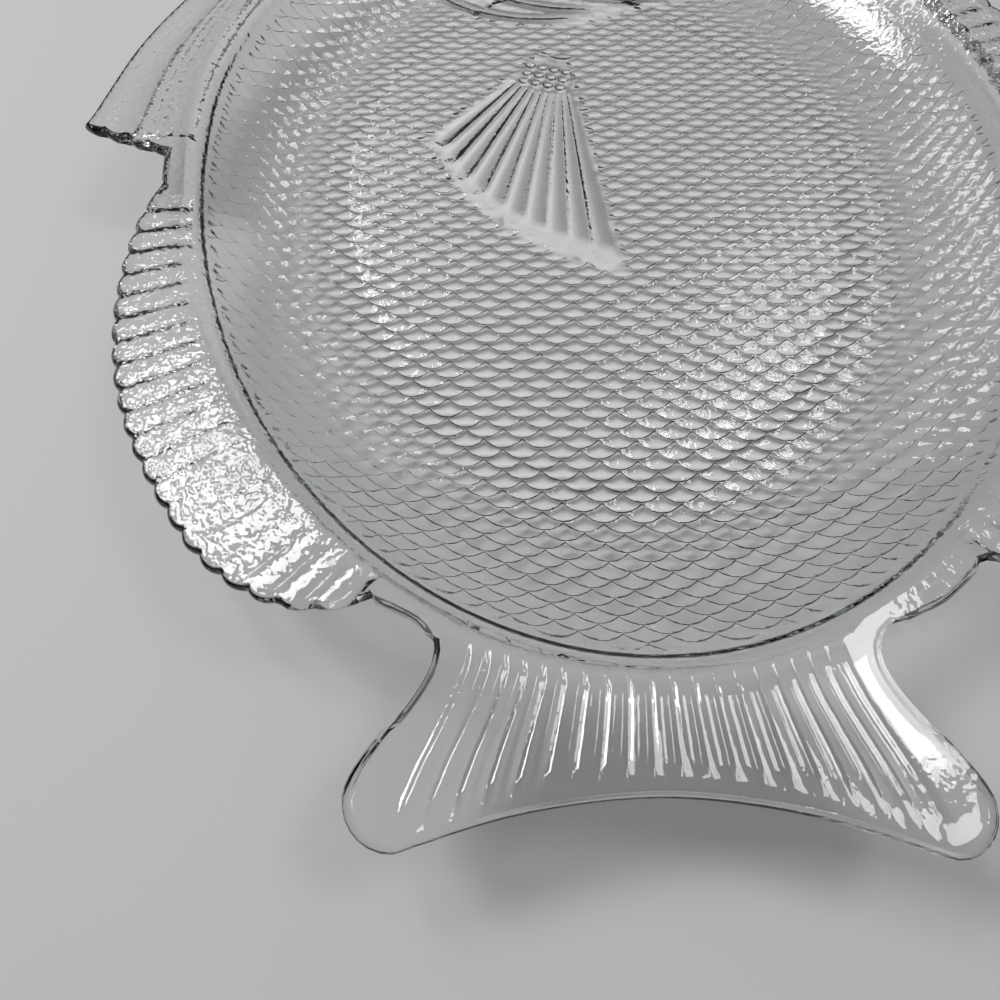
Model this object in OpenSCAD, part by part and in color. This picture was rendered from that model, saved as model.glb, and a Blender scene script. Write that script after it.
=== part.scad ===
// Fish shaped serving platter, pressed in clear glass.
// +X runs to the tail, +Y to the back, +Z up from the table.

/* [Dish] */
// Length of the rim from its widest place to the tail
rim_tail_l = 179; // [160:1:195]
// Length of the rim from its widest place to the snout
rim_head_l = 176; // [160:1:195]
// Half width of the rim
rim_half_w = 126; // [110:1:140]
// Height of the rim above the table
rim_h = 30; // [24:0.5:38]
// Length of the flat floor from its widest place to the tail
floor_tail_l = 129; // [110:1:140]
// Length of the flat floor from its widest place to the snout
floor_head_l = 108; // [95:1:125]
// Half width of the flat floor
floor_half_w = 88; // [75:1:98]
// Thickness of the glass in the floor and the wall
glass_t = 4.4; // [3.5:0.1:6]
// How sharply the wall turns up towards the rim
wall_curve = 1.9; // [1.5:0.1:2.4]
// Width of the smooth band outside the rim's crease
band_w = 7; // [5:0.5:9]

/* [Head] */
// How much of its half width the head has lost at the snout
snout_taper_share = 0.3; // [0.1:0.05:0.45]
// How far the snout lies towards the belly
snout_drop = 10; // [0:1:18]
// Radius of the eye
eye_r = 11; // [7:0.5:14]
// How far the eye and the mouth stand out of the wall
face_relief = 1.4; // [0.8:0.1:2]
// Length of the mouth line
mouth_l = 46; // [30:1:60]
// Width of the mouth line
mouth_w = 4; // [2.5:0.5:6]
// Width of one band of the gill cover
gill_band_w = 4.5; // [3:0.5:5]
// Radius of the gill cover's outer edge
gill_r = 66; // [56:1:76]

/* [Foot] */
// Height of the foot ring
foot_h = 1.4; // [1.2:0.1:2.5]
// Width of the foot ring
foot_w = 3; // [2:0.5:5]
// Gap from the foot ring to the end of the flat floor
foot_inset = 2; // [1:0.5:5]

/* [Scales] */
// Width of one scale
scale_w = 10.5; // [9:0.5:16]
// Length of one scale along the fish, from a row to the next but one
scale_l = 6.5; // [5.5:0.5:10]
// How far a scale stands out at its tail-ward edge
scale_relief = 0.7; // [0.4:0.1:0.9]
// Depth of the glass left under the lines between scales
scale_web = 0.2; // [0.15:0.05:0.3]

/* [Fins] */
// Thickness of the fins
fin_t = 4; // [3:0.1:5]
// Depth of the flutes under the anal and the dorsal fin
flute_d = 1; // [0.5:0.1:1.5]
// How far each flute's end bulges past the fin's edge
scallop_d = 1.3; // [0.6:0.1:2]
// Width of the anal fin
anal_w = 24.5; // [18:0.5:30]
// Number of flutes in the anal fin
anal_flutes = 21; // [14:1:26]
// Width of the dorsal fin
dorsal_w = 22; // [16:0.5:28]
// Number of flutes in the dorsal fin
dorsal_flutes = 36; // [24:1:44]
// Width of the pelvic fin at its cut rear end
pelvic_w = 33; // [26:0.5:38]
// How far the pelvic fin's tip lies ahead of its root
pelvic_sweep = 13; // [5:1:18]
// Number of ribs on the pelvic fin
pelvic_ribs = 5; // [3:1:7]
// Width of a rib on the pelvic fin
rib_w = 2; // [1.2:0.2:3]
// Height of a rib on the pelvic fin
rib_h = 0.9; // [0.5:0.1:1.4]

/* [Tail] */
// How far the tail's lobes reach past the rim's rear end
tail_l = 34; // [26:1:46]
// Half width of the tail across its lobes
tail_half_w = 61; // [54:1:70]
// Depth of the hollow in the tail's rear edge
tail_hollow = 9.4; // [4:0.2:14]
// Radius of the lobes' corners
lobe_r = 9; // [6:0.5:12]
// How far the tail's sides are drawn in
tail_waist = 4; // [0:0.5:6]
// Number of rays in the tail
tail_rays = 25; // [17:2:31]
// Height of the rays in the tail
tail_ray_h = 0.9; // [0.4:0.1:1.4]

/* [Pectoral fin] */
// Number of rays in the pectoral fin
pectoral_rays = 10; // [7:1:13]
// Length of its shortest ray
pectoral_short = 44; // [34:1:52]
// Length of its longest ray
pectoral_long = 84; // [70:1:92]
// Height of the rays
ray_h = 1; // [0.6:0.1:1.1]

/* [Hidden] */
$fn = 48;

// Places round the outline are counted in stations, from the tail through the back to the snout
stations = 96;
tail_end = 5.5;
tail_wall_end = 14;
head_wall_end = 34;
wall_steps = 4;
taper_power = 1.6;
blend_power = 6;
wide_share = -0.0451;
wide_x = wide_share * (rim_tail_l + rim_head_l);
floor_top = foot_h + glass_t;
wall_rise = rim_h - floor_top;
embed = 0.4;

// A point of an oval that is pointed at the snout, at an angle from the tail
function oval(a, tail_l, head_l, half_w) =
  let (c = cos(a), head = max(0, -c))
  [wide_x + (c > 0 ? tail_l : head_l) * c,
   half_w * sin(a) * (1 - snout_taper_share * pow(head, taper_power)) - snout_drop * head * head];
function rim_station(i) = oval(i * 360 / stations, rim_tail_l, rim_head_l, rim_half_w);
function floor_station(i) = oval(i * 360 / stations, floor_tail_l, floor_head_l, floor_half_w);

// Between stations both outlines are straight, so that neighbours share their faces
function rim_at(k) = let (i = floor(k), u = k - i) (1 - u) * rim_station(i) + u * rim_station(i + 1);
function floor_at(k) =
  let (i = floor(k), u = k - i) (1 - u) * floor_station(i) + u * floor_station(i + 1);
function unit(v) = v / norm(v);
function out_at(k) = let (d = unit(rim_station(k + 1) - rim_station(k - 1))) [d.y, -d.x];
function mix(a, b, u) = (1 - u) * a + u * b;

// The wall between the floor, at t = 0, and the rim's crease, at t = 1
function wall_xy(k, t) = mix(floor_at(k), rim_at(k), t);
function wall_width(k) = norm(rim_station(k) - floor_station(k));
function wall_top(t) = floor_top + wall_rise * pow(t, wall_curve);
function wall_slope(k, t) = wall_rise * wall_curve * pow(t, wall_curve - 1) / wall_width(k);
function wall_depth(k, t) = mix(glass_t * norm([1, wall_slope(k, t)]), fin_t, pow(t, blend_power));
function wall_under(k, t) = wall_top(t) - wall_depth(k, t);

// Where the fins begin and end, as shares of the way round the outline from the tail
anal_rear_share = -0.0755;
anal_front_share = -0.2083;
pelvic_rear_share = -0.224;
pelvic_front_share = -0.3542;
dorsal_rear_share = 0.09375;
dorsal_front_share = 0.34375;

// Widths of the fins from the crease, over the share s of their length
fin_end_w = 1.5;
function swell(s, wide, rise, fall) =
  band_w + fin_end_w + (wide - band_w - fin_end_w) * (s < rise ? pow(sin(90 * s / rise), 0.9)
                            : s > fall ? pow(1 - pow((s - fall) / (1 - fall), 2), 0.8) : 1);
function scallop(s, count) = scallop_d * abs(sin(180 * count * s));
anal_rise = 0.55;
anal_fall = 0.72;
dorsal_rise = 0.6;
dorsal_fall = 0.84;
function anal_width(s) = swell(s, anal_w, anal_rise, anal_fall);
function dorsal_width(s) = swell(s, dorsal_w, dorsal_rise, dorsal_fall);
function pelvic_width(s) = mix(pelvic_w, band_w + fin_end_w, pow(s, 0.75));

function off_rim(k, w) = rim_at(k) + w * out_at(k);
function anal_k(s) = stations * mix(anal_front_share, anal_rear_share, s);
function dorsal_k(s) = stations * mix(dorsal_front_share, dorsal_rear_share, s);
function pelvic_k(s) = stations * mix(pelvic_rear_share, pelvic_front_share, s);
function edge_bulge(s, count) = scallop(s, count) * min(1, 4 * sin(180 * s));
function anal_edge(s) = off_rim(anal_k(s), anal_width(s) + edge_bulge(s, anal_flutes));
function dorsal_edge(s) = off_rim(dorsal_k(s), dorsal_width(s) + edge_bulge(s, dorsal_flutes));
function pelvic_edge(s) = off_rim(pelvic_k(s), pelvic_width(s)) - [pelvic_sweep * pow(1 - s, 2), 0];

// The tail's rear edge, s = -1 at the belly lobe and 1 at the back lobe
corner_share = 0.12;
lobe_y = tail_half_w - lobe_r;
function rear_x(y) = wide_x + rim_tail_l + tail_l - tail_hollow * (1 - pow(abs(y) / lobe_y, 1.8));
function tail_edge(s) =
  let (a = abs(s), turn = 90 * max(0, (a - 1 + corner_share) / corner_share),
       y = min(1, a / (1 - corner_share)) * lobe_y)
  [rear_x(y) - lobe_r * (1 - cos(turn)), sign(s) * (y + lobe_r * sin(turn))];

// The middle of the whole outline, which becomes the origin
reach = concat([for (i = [0 : stations]) off_rim(i, band_w)],
               [for (i = [0 : anal_flutes * 4]) anal_edge(i / anal_flutes / 4)],
               [for (i = [0 : dorsal_flutes * 4]) dorsal_edge(i / dorsal_flutes / 4)],
               [for (i = [0 : stations]) pelvic_edge(i / stations)],
               [for (i = [-stations : stations]) tail_edge(i / stations)]);
reach_x = [for (p = reach) p.x];
reach_y = [for (p = reach) p.y];
middle = [(min(reach_x) + max(reach_x)) / 2, (min(reach_y) + max(reach_y)) / 2];

module placed() {
  translate([-middle.x, -middle.y, 0])
    children();
}

module glass() {
  color([0.80, 0.86, 0.83, 0.6])
    placed()
      children();
}

// A closed solid between two sheets of points, given as columns of rows
module sheet(upper, lower) {
  cols = len(upper);
  rows = len(upper[0]);
  back = cols * rows;
  function at(c, r) = c * rows + r;
  function quad(a, b, c, d) = [[a, c, b], [a, d, c]];
  points = concat([for (c = upper) each c], [for (c = lower) each c]);
  faces = concat(
    [for (c = [0 : cols - 2], r = [0 : rows - 2])
      each quad(at(c, r), at(c, r + 1), at(c + 1, r + 1), at(c + 1, r))],
    [for (c = [0 : cols - 2], r = [0 : rows - 2])
      each quad(back + at(c, r), back + at(c + 1, r), back + at(c + 1, r + 1), back + at(c, r + 1))],
    [for (c = [0 : cols - 2])
      each quad(at(c, 0), at(c + 1, 0), back + at(c + 1, 0), back + at(c, 0))],
    [for (c = [0 : cols - 2])
      each quad(at(c, rows - 1), back + at(c, rows - 1), back + at(c + 1, rows - 1), at(c + 1, rows - 1))],
    [for (r = [0 : rows - 2])
      each quad(at(0, r), back + at(0, r), back + at(0, r + 1), at(0, r + 1))],
    [for (r = [0 : rows - 2])
      each quad(at(cols - 1, r), at(cols - 1, r + 1), back + at(cols - 1, r + 1), back + at(cols - 1, r))]);
  polyhedron(points, faces);
}

module wall(from, to) {
  sheet([for (k = [from : to]) [for (j = [0 : wall_steps])
          let (t = j / wall_steps, p = wall_xy(k, t)) [p.x, p.y, wall_top(t)]]],
        [for (k = [from : to]) [for (j = [0 : wall_steps])
          let (t = j / wall_steps, p = wall_xy(k, t)) [p.x, p.y, wall_under(k, t)]]]);
}

module tail_wall() {
  glass() wall(-tail_wall_end, tail_wall_end);
}

module back_wall() {
  glass() wall(tail_wall_end, head_wall_end);
}

module head_wall() {
  glass() wall(head_wall_end, stations - head_wall_end);
}

module belly_wall() {
  glass() wall(stations - head_wall_end, stations - tail_wall_end);
}

module floor_outline() {
  polygon([for (i = [0 : stations - 1]) floor_station(i)]);
}

// The floor's outline drawn in by a distance
function inset_at(i, d) =
  let (p = floor_station(i), v = unit(floor_station(i + 1) - floor_station(i - 1))) p - d * [v.y, -v.x];

module inset_outline(d) {
  polygon([for (i = [0 : stations - 1]) inset_at(i, d)]);
}

module floor_plate() {
  glass()
    translate([0, 0, foot_h])
      linear_extrude(glass_t)
        floor_outline();
}

module foot_ring() {
  glass()
    linear_extrude(foot_h)
      difference() {
        inset_outline(foot_inset);
        inset_outline(foot_inset + foot_w);
      }
}

// The scales lie in rows across the fish. Row j has its corners at row_x(j), and its arcs bulge
// towards the tail as far as the next row, which is shifted by half a scale.
field_inset = foot_inset + foot_w;
row_pitch = scale_l / 2;
quarter = scale_w / 4;
head_rows = floor(floor_head_l / row_pitch);
tail_rows = floor(floor_tail_l / row_pitch);
all_rows = head_rows + tail_rows;
field_q = 4 * ceil(floor_half_w * 2 / scale_w);
apex_share = 0.55;
function row_x(j) = wide_x + (j - head_rows) * row_pitch;
function row_shift(j) = 2 * (j % 2);
function wrap4(q) = ((q % 4) + 4) % 4;
function field_y(x, side) =
  let (c = (x - wide_x) / ((x > wide_x ? floor_tail_l : floor_head_l) - field_inset), head = max(0, -c))
  side * (floor_half_w - field_inset) * sqrt(max(0, 1 - c * c)) *
  (1 - snout_taper_share * pow(head, taper_power)) - snout_drop * head * head;
function low_y(j) = max(field_y(row_x(j - 1), -1), field_y(row_x(j + 1), -1));
function high_y(j) = min(field_y(row_x(j - 1), 1), field_y(row_x(j + 1), 1));
function low_q(j) = 4 * ceil((low_y(j) / quarter - row_shift(j)) / 4) + row_shift(j);
function high_q(j) = 4 * floor((high_y(j) / quarter - row_shift(j)) / 4) + row_shift(j);
used_rows = [for (j = [1 : all_rows - 1]) if (high_q(j) - low_q(j) >= 8) j];
first_row = min(used_rows);
last_row = max(used_rows);

// Corners and arc points are numbered by row and by quarter of a scale's width
q_count = 2 * field_q + 1;
function arc_x(j, q) = row_x(j) + row_pitch * (1 - pow(wrap4(q - row_shift(j)) / 2 - 1, 2));
function point_id(j, q) =
  (wrap4(q - row_shift(j)) == 2 ? j + 1 - first_row : j - first_row) * q_count + q_count + q + field_q;
function cell_ids(j, q) =
  [point_id(j, q), point_id(j, q + 1), point_id(j, q + 2), point_id(j, q + 3), point_id(j, q + 4),
   point_id(j - 1, q + 3), point_id(j - 1, q + 2), point_id(j - 1, q + 1)];
function has_cell(j, q) = j >= first_row && j <= last_row && q >= low_q(j) && q <= high_q(j) - 4;

// One half of a scale, side = -1 or 1: its outline's free edges, and the points that a flat face fans
// out to, with an arc point only where the neighbour isn't flat too
function free_edges(j, q, side) =
  let (c = q + 2, tail_edges = [[point_id(j, c), point_id(j, c + side)],
                                [point_id(j, c + side), point_id(j, c + 2 * side)]],
       head_edges = [[point_id(j, c + 2 * side), point_id(j - 1, c + side)],
                     [point_id(j - 1, c + side), point_id(j - 1, c)]])
  concat(has_cell(j + 1, q + 2 * side) ? [] : tail_edges, has_cell(j - 1, q + 2 * side) ? [] : head_edges);
function fan_ids(j, q, side, is_flat) =
  let (c = q + 2)
  concat(is_flat(j + 1, q + 2 * side) ? [] : [point_id(j, c + side)], [point_id(j, c + 2 * side)],
         is_flat(j - 1, q + 2 * side) ? [] : [point_id(j - 1, c + side)], [point_id(j - 1, c)]);
function turned(face, side) = side > 0 ? face : [face[0], face[2], face[1]];

// Where the pectoral fin and the gill cover take the place of scales
pectoral_ahead_l = 64;
pectoral_side_w = 12;
pectoral_at = [wide_x - pectoral_ahead_l, -pectoral_side_w];
pectoral_turns = [-38, 6.5];
turn_skew = 0.22;
root_r = 27;
root_l = 17;
bare_margin = scale_w / 2;
gill_ahead_l = 80;
gill_step_l = 7;
gill_side_shares = [-0.3, -0.08, 0.21];
function gill_centre(i) =
  [wide_x - gill_ahead_l - i * gill_step_l - gill_r, gill_side_shares[i] * gill_r];
function ray_turn(u) = mix(pectoral_turns[0], pectoral_turns[1], u * (1 + turn_skew * (1 - u)));
function turn_share(turn) = (turn - pectoral_turns[0]) / (pectoral_turns[1] - pectoral_turns[0]);
function fin_reach(turn) =
  root_r + mix(pectoral_short, pectoral_long, max(0, min(1, turn_share(turn))));
function under_fin(p) =
  let (v = p - pectoral_at, d = norm(v), turn = atan2(v.y, v.x), spare = atan(bare_margin / d))
  d > root_r - root_l - bare_margin && d < fin_reach(turn) + bare_margin &&
  turn > pectoral_turns[0] - spare && turn < pectoral_turns[1] + spare;
function under_gill(p) = min([for (i = [0 : 2]) norm(p - gill_centre(i))]) < gill_r + bare_margin;
function centre(j, q) = [row_x(j) + apex_share * row_pitch, (q + 2) * quarter];
function is_bare(j, q) = let (p = centre(j, q)) has_cell(j, q) && (under_fin(p) || under_gill(p));
pad_z = foot_h - scale_web;

module floor_scales() {
  row_ids = [for (j = [first_row - 1 : last_row + 1]) j];
  corners = [for (j = row_ids) for (q = [-field_q : field_q]) [arc_x(j, q), q * quarter]];
  cells = [for (j = [first_row : last_row]) for (q = [low_q(j) : 4 : high_q(j) - 4]) [j, q]];
  bare = [for (c = cells) if (is_bare(c[0], c[1])) c];
  domed = [for (c = cells) if (!is_bare(c[0], c[1])) c];
  back = len(corners);
  crest = 2 * back;
  points = concat([for (p = corners) [p.x, p.y, pad_z]], [for (p = corners) [p.x, p.y, foot_h]],
                  [for (c = domed) let (p = centre(c[0], c[1])) [p.x, p.y, pad_z - scale_relief]]);
  domes = [for (i = [0 : len(domed) - 1]) let (ids = cell_ids(domed[i][0], domed[i][1]))
    for (n = [0 : 7]) [ids[n], ids[(n + 1) % 8], crest + i]];
  flats = [for (c = bare, side = [-1, 1])
    let (fan = fan_ids(c[0], c[1], side, function (j, q) is_bare(j, q)), from = point_id(c[0], c[1] + 2))
    for (n = [0 : len(fan) - 2]) turned([from, fan[n], fan[n + 1]], side)];
  backs = [for (c = cells, side = [-1, 1])
    let (fan = fan_ids(c[0], c[1], side, function (j, q) has_cell(j, q)),
         from = back + point_id(c[0], c[1] + 2))
    for (n = [0 : len(fan) - 2]) turned([from, back + fan[n + 1], back + fan[n]], side)];
  skirts = [for (c = cells, side = [-1, 1]) for (e = free_edges(c[0], c[1], side))
    each [turned([e[0], back + e[0], e[1]], side), turned([e[1], back + e[0], back + e[1]], side)]];
  glass()
    polyhedron(points, concat(domes, flats, backs, skirts), convexity = 4);
}

// The fins are strips outside the crease. After the crease come rows at shares of the way from the
// band's edge to the fin's, each with the share of the relief that the fin's underside has there.
pad_drop = 0.8;

module flange(shares, crease_k, edge, rows, relief) {
  function inner(s, z) = let (p = rim_at(crease_k(s))) [p.x, p.y, z];
  function outer(s, row, z) =
    let (p = mix(off_rim(crease_k(s), band_w), edge(s), row[0])) [p.x, p.y, z];
  function drop(row) = row[0] == 1 ? pad_drop : 0;
  sheet([for (s = shares) concat([inner(s, rim_h)], [for (row = rows) outer(s, row, rim_h - drop(row))])],
        [for (s = shares)
          concat([inner(s, rim_h - fin_t)],
                 [for (row = rows) outer(s, row, rim_h - fin_t + drop(row) - relief(s) * row[1])])]);
}

function rising(count) = [for (i = [0 : count]) i / count];
function falling(count) = [for (i = [0 : count]) 1 - i / count];
function flute(s, count) = flute_d * abs(sin(180 * count * s));
fluted_row_shares = [[0, 0.7], [0.88, 1], [1, 0]];

module anal_fin() {
  glass()
    flange(rising(anal_flutes * 3), function (s) anal_k(s), function (s) anal_edge(s),
           fluted_row_shares, function (s) flute(s, anal_flutes));
}

module dorsal_fin() {
  glass()
    flange(falling(dorsal_flutes * 3), function (s) dorsal_k(s), function (s) dorsal_edge(s),
           fluted_row_shares, function (s) flute(s, dorsal_flutes));
}

// The pelvic fin's ribs spread from the head end of its root to its cut rear end
pelvic_steps = 7;
rib_fade = 3;
rib_pitch_share = 1 / (pelvic_ribs + 0.7);
rib_half_share = min(rib_w / 2 / (pelvic_w - band_w), 0.45 * rib_pitch_share);

module pelvic_fin() {
  ribs = [for (i = [0 : pelvic_ribs - 1]) let (u = (i + 0.6) * rib_pitch_share)
    each [[u - rib_half_share, 0], [u, 1], [u + rib_half_share, 0]]];
  glass()
    flange(falling(pelvic_steps), function (s) pelvic_k(s), function (s) pelvic_edge(s),
           concat([[0, 0]], ribs, [[1, 0]]), function (s) rib_h * min(1, rib_fade * (1 - s)));
}

// The tail's rays stand up from its upper face, between the rim and a plain strip at its rear edge
tail_row_shares = [0, 0.12, 0.45, 0.86, 1];
ray_rise_shares = [0, 1, 1, 1, 0];
ray_steps = 3;

module tail_fin() {
  last = len(tail_row_shares) - 1;
  function outer(s, r) =
    let (u = tail_row_shares[r])
    mix(off_rim(tail_end * s, band_w), tail_edge(s), u)
    - [0, sign(s) * tail_waist * sin(180 * pow(u, 0.75)) * pow(abs(s), 3)];
  function ridge(s, r) = tail_ray_h * ray_rise_shares[r] * abs(sin(90 * tail_rays * (s + 1)));
  function drop(r) = r == last ? pad_drop : 0;
  shares = [for (i = [0 : tail_rays * ray_steps]) 2 * i / tail_rays / ray_steps - 1];
  glass()
    sheet([for (s = shares) let (crease = rim_at(tail_end * s))
            concat([[crease.x, crease.y, rim_h]],
                   [for (r = [0 : last]) let (p = outer(s, r)) [p.x, p.y, rim_h - drop(r) + ridge(s, r)]])],
          [for (s = shares) let (crease = rim_at(tail_end * s))
            concat([[crease.x, crease.y, rim_h - fin_t]],
                   [for (r = [0 : last]) let (p = outer(s, r)) [p.x, p.y, rim_h - fin_t + drop(r)]])]);
}

// Where no fin stands out, the rim ends in its plain band, with the lips at the snout
lip_d = 2.5;
lip_notch = 2.5;
mouth_k = 50;
lip_span = 3;
function lip(k) =
  let (d = abs(k - mouth_k) / lip_span)
  d < 1 ? lip_d * sin(180 * d) - lip_notch * max(0, 1 - d * lip_span) : 0;
function band_at(k) = off_rim(k, band_w + lip(k));
function stops(from, to) =
  concat([from],
         [for (k = [floor(from) + 1 : ceil(to) - 1])
           each abs(k + 0.5 - mouth_k) < lip_span ? [k, k + 0.5] : [k]],
         [to]);

module band(from, to) {
  function across(k, z) = [for (p = [rim_at(k), band_at(k)]) [p.x, p.y, z]];
  sheet([for (k = stops(from, to)) across(k, rim_h)],
        [for (k = stops(from, to)) across(k, rim_h - fin_t)]);
}

module rim_bands() {
  glass() {
    band(tail_end, dorsal_k(1));
    band(dorsal_k(0), stations + pelvic_k(1));
    band(stations + pelvic_k(0), stations + anal_k(0));
    band(stations + anal_k(1), stations - tail_end);
  }
}

// The rays of the pectoral fin spread over the floor's underside from a root of small lumps
lump_r = 2.4;
lump_pitch = 4.6;
ray_gap = 0.5;
ray_stop_shares = [0, 0.92, 1];
ray_end_shares = [1, 1, 0.45];
ray_section_shares = [[-1, 0.25], [-0.5, 0.85], [0, 1], [0.5, 0.85], [1, 0.25]];

module pectoral_ray(i) {
  turn = ray_turn(i / (pectoral_rays - 1));
  step = ray_turn((i + 0.5) / (pectoral_rays - 1)) - ray_turn((i - 0.5) / (pectoral_rays - 1));
  function line(n, z_share) =
    let (d = mix(root_r, fin_reach(turn), ray_stop_shares[n]),
         w = (d * tan(step / 2) - ray_gap / 2) * ray_end_shares[n])
    [for (v = ray_section_shares)
      [pectoral_at.x + d * cos(turn) - v[0] * w * sin(turn),
       pectoral_at.y + d * sin(turn) + v[0] * w * cos(turn),
       pad_z - ray_h * v[1] * z_share]];
  lines = [2, 1, 0];
  sheet([for (n = lines) line(n, 0)], [for (n = lines) line(n, 1)]);
}

module lump() {
  rotate_extrude()
    intersection() {
      translate([0, ray_h - lump_r])
        circle(lump_r);
      square([lump_r, ray_h]);
    }
}

module pectoral_fin() {
  glass() {
    for (i = [0 : pectoral_rays - 1])
      pectoral_ray(i);
    translate([pectoral_at.x, pectoral_at.y, pad_z])
      rotate([0, 0, (pectoral_turns[0] + pectoral_turns[1]) / 2])
        for (row = [0 : 2], lane = [0 : 3])
          translate([root_r - lump_pitch * (row + 0.7), lump_pitch * (lane - 1.5), 0])
            mirror([0, 0, 1])
              lump();
  }
}

// The gill cover is three arcs across the floor's underside at the head
gill_turns = [[-34, 12], [-34, 6], [-26, 15]];
gill_h = 0.9;

module gill_arc(i) {
  translate([gill_centre(i).x, gill_centre(i).y, pad_z - gill_h])
    rotate([0, 0, gill_turns[i][0]])
      rotate_extrude(angle = gill_turns[i][1] - gill_turns[i][0])
        translate([gill_r - gill_band_w, 0])
          polygon([[gill_band_w / 4, 0], [gill_band_w * 3 / 4, 0], [gill_band_w, gill_h], [0, gill_h]]);
}

module gill_cover() {
  glass()
    intersection() {
      for (i = [0 : len(gill_turns) - 1])
        gill_arc(i);
      linear_extrude(foot_h)
        inset_outline(field_inset);
    }
}

// The eye and the mouth stand out of the underside of the head's wall
eye_k = 40;
eye_t_share = 0.5;
eye_points = 20;
eye_ring_shares = [0.35, 0.6, 0.7, 0.85, 1];
eye_rise_shares = [0.9, 0.3, 0.3, 0.9, 0.1];
function station_l(k, t) = norm(wall_xy(k + 1, t) - wall_xy(k, t));
function under_point(k, t, rise) = let (p = wall_xy(k, t)) [p.x, p.y, wall_under(k, t) - rise];
function eye_at(r, a, rise) =
  under_point(eye_k + r * cos(a) / station_l(eye_k, eye_t_share),
              eye_t_share + r * sin(a) / wall_width(eye_k), rise);

module eye() {
  rings = len(eye_ring_shares);
  turns = [for (n = [0 : eye_points - 1]) n * 360 / eye_points];
  front = [for (i = [0 : rings - 1], a = turns)
    eye_at(eye_r * eye_ring_shares[i], a, face_relief * eye_rise_shares[i])];
  back = [for (a = turns) eye_at(eye_r, a, -embed)];
  front_middle = (rings + 1) * eye_points;
  back_middle = front_middle + 1;
  function at(i, n) = i * eye_points + n % eye_points;
  faces = [for (n = [0 : eye_points - 1])
    each concat(
      [[at(0, n), at(0, n + 1), front_middle], [at(rings, n + 1), at(rings, n), back_middle]],
      [for (i = [0 : rings - 1])
        each [[at(i, n), at(i + 1, n), at(i + 1, n + 1)], [at(i, n), at(i + 1, n + 1), at(i, n + 1)]]])];
  glass()
    polyhedron(concat(front, back, [eye_at(0, 0, face_relief), eye_at(0, 0, -embed)]), faces);
}

mouth_steps = 8;
mouth_turn = 28;
mouth_t_share = 0.97;

module mouth() {
  function line(u, side, rise) =
    under_point(mouth_k + u * mouth_l * cos(mouth_turn) / station_l(mouth_k, mouth_t_share),
                mouth_t_share - (u * mouth_l * sin(mouth_turn) + side * mouth_w / 2) / wall_width(mouth_k),
                rise);
  function row(u, rises) = [for (n = [0 : 2]) line(u, 1 - n, rises[n])];
  glass()
    sheet([for (i = [0 : mouth_steps]) row(i / mouth_steps, [-embed, -embed, -embed])],
          [for (i = [0 : mouth_steps]) row(i / mouth_steps, [0, face_relief, 0])]);
}

floor_plate();
floor_scales();
foot_ring();
tail_wall();
back_wall();
belly_wall();
head_wall();
rim_bands();
anal_fin();
dorsal_fin();
pelvic_fin();
tail_fin();
pectoral_fin();
gill_cover();
eye();
mouth();
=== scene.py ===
from math import atan2, ceil, cos, degrees, floor, pi, radians, sin, sqrt, tan

import bmesh
import bpy
from mathutils import Matrix, Vector


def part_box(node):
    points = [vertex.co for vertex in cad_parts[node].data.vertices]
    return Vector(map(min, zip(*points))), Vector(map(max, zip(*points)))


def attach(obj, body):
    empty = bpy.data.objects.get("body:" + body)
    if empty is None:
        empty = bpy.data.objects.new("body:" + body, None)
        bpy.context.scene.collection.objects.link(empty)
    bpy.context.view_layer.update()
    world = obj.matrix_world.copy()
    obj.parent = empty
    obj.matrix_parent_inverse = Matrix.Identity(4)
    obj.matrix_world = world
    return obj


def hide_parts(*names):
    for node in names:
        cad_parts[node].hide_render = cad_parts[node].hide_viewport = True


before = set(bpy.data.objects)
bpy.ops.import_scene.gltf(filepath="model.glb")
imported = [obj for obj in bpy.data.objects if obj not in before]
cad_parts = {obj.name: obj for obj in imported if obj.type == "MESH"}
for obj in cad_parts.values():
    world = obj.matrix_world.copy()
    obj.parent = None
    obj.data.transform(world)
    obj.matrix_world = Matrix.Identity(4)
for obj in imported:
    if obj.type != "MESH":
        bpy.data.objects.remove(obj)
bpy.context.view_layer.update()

# The dish, in millimetres: +X to the tail, +Y to the back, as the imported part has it
dish = {
    "wideShare": -0.0451, "rimTail": 179, "rimHead": 176, "rimHalf": 126, "rimHeight": 30,
    "floorTail": 129, "floorHead": 108, "floorHalf": 88, "glass": 4.4, "curve": 1.9,
    "band": 7, "finThick": 4, "snoutTaper": 0.3, "taperPower": 1.6, "snoutDrop": 10,
    "foot": 1.4, "footInset": 3.5, "footReach": 4.5, "footSwell": 0.5, "lowest": 0.01,
    "stations": 96, "fillet": 2.0, "filletReach": 7, "filletCurve": 6,
}
wideX = dish["wideShare"] * (dish["rimTail"] + dish["rimHead"])
floorTop = dish["foot"] + dish["glass"]
wallRise = dish["rimHeight"] - floorTop
slopeStep = 0.01  # the share of a wall or a curve over which its slope is measured


def mix(a, b, u):
    return a + (b - a) * u


def clamp(u, low=0.0, high=1.0):
    return max(low, min(high, u))


def ease(u):
    u = clamp(u)
    return u * u * (3 - 2 * u)


# 1 in the middle and 0 outside; each end is a place and the length of the slope at it
def between(u, low, high):
    return ease((u - low[0]) / low[1]) * ease((high[0] - u) / high[1])


# A point of an oval that is pointed at the snout; k counts stations from the tail through the back
def oval(k, tailLength, headLength, half):
    turn = 2 * pi * k / dish["stations"]
    c = cos(turn)
    head = max(0.0, -c)
    along = tailLength if c > 0 else headLength
    y = half * sin(turn) * (1 - dish["snoutTaper"] * head ** dish["taperPower"])
    return Vector((wideX + along * c, y - dish["snoutDrop"] * head * head))


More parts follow.
